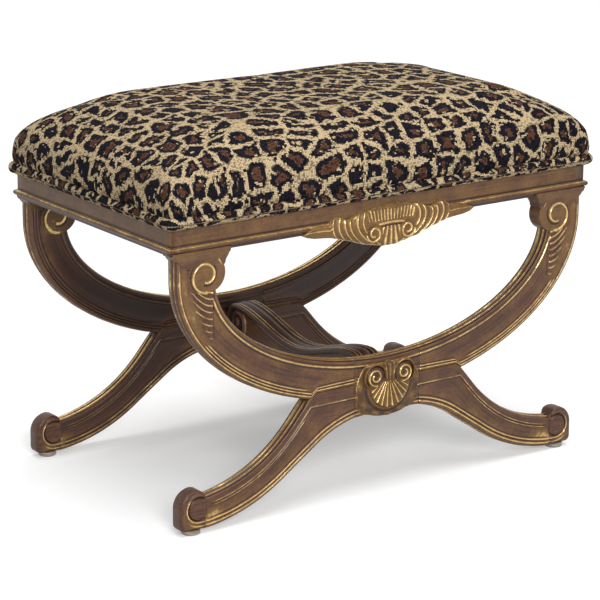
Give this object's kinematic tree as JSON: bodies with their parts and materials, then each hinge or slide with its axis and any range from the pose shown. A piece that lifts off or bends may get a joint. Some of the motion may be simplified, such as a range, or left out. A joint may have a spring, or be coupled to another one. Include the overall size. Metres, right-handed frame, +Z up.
{
  "type": "ottoman",
  "caption": "Curule ottoman: carved X-frames with scrolled feet, joined by a reeded stretcher, under a moulded rail and a crowned cloth seat with a thick welt.",
  "frame": {"origin": "on the floor, under the middle of the seat", "axes": "+X along the long side from left to right as seen from the front, +Y from front to back, +Z up"},
  "size_m": [0.638, 0.378, 0.4771],
  "materials": {
    "walnut": "dark walnut stain, satin lacquer, antique gold rubbed on beads and edges",
    "gilded_carving": "carved walnut rubbed with antique gold, satin",
    "frame_wood": "sawn and planed hardwood, bare",
    "beech_dowel": "turned beech, bare",
    "seat_cloth": "woven tapestry cloth with a leopard pattern in tan, brown and black",
    "foam": "open-cell upholstery foam",
    "jute_webbing": "woven jute strap",
    "burlap": "open-weave jute cloth",
    "dust_cloth": "black non-woven cambric",
    "zinc_screw": "zinc-plated steel",
    "nickel_glide": "nickel-plated steel, slightly dulled"
  },
  "bodies": {
    "root": {"arm_dowels": "beech_dowel", "back_apron_carving": "gilded_carving", "back_frame_dowels": "beech_dowel", "back_hub": "walnut", "back_left_arm": "walnut", "back_left_corner_block": "frame_wood", "back_left_glide": "nickel_glide", "back_left_leg": "walnut", "back_rail": "walnut", "back_right_arm": "walnut", "back_right_corner_block": "frame_wood", "back_right_glide": "nickel_glide", "back_right_leg": "walnut", "back_shell_boss": "gilded_carving", "burlap_sheet": "burlap", "corner_block_screws": "zinc_screw", "cross_webbing": "jute_webbing", "dust_cover": "dust_cloth", "foam_pad": "foam", "front_apron_carving": "gilded_carving", "front_frame_dowels": "beech_dowel", "front_hub": "walnut", "front_left_arm": "walnut", "front_left_corner_block": "frame_wood", "front_left_glide": "nickel_glide", "front_left_leg": "walnut", "front_rail": "walnut", "front_right_arm": "walnut", "front_right_corner_block": "frame_wood", "front_right_glide": "nickel_glide", "front_right_leg": "walnut", "front_shell_boss": "gilded_carving", "left_rail": "walnut", "long_webbing": "jute_webbing", "right_rail": "walnut", "seat_cover": "seat_cloth", "seat_frame_back": "frame_wood", "seat_frame_dowels": "beech_dowel", "seat_frame_front": "frame_wood", "seat_frame_left": "frame_wood", "seat_frame_right": "frame_wood", "seat_screws": "zinc_screw", "seat_welt": "seat_cloth", "stretcher": "walnut", "stretcher_dowels": "beech_dowel"}
  },
  "joints": []
}
